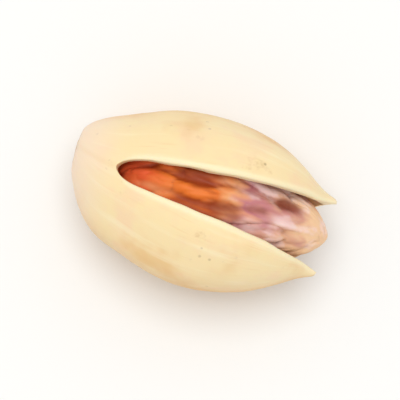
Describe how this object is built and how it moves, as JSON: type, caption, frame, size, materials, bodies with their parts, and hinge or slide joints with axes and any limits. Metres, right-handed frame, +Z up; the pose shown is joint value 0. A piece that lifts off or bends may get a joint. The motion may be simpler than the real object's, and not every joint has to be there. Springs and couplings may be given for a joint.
{
  "type": "pistachio in shell",
  "caption": "Split pistachio nut in its hard cream shell, lying on its back with the split facing up and the wrinkled rust-red and mauve kernel showing between the valves.",
  "frame": {"origin": "middle of the small flat spot on the back of the shell that the nut rests on", "axes": "+X along the nut from the stem scar at its base to the two beaks at its tip; +Z up, out of the split; +Y across the valves, towards the less full valve"},
  "size_m": [0.0201, 0.013, 0.0126],
  "materials": {
    "shell": "satin",
    "kernel": "matte"
  },
  "bodies": {
    "root": {"shell": "shell", "kernel": "kernel"}
  },
  "joints": []
}
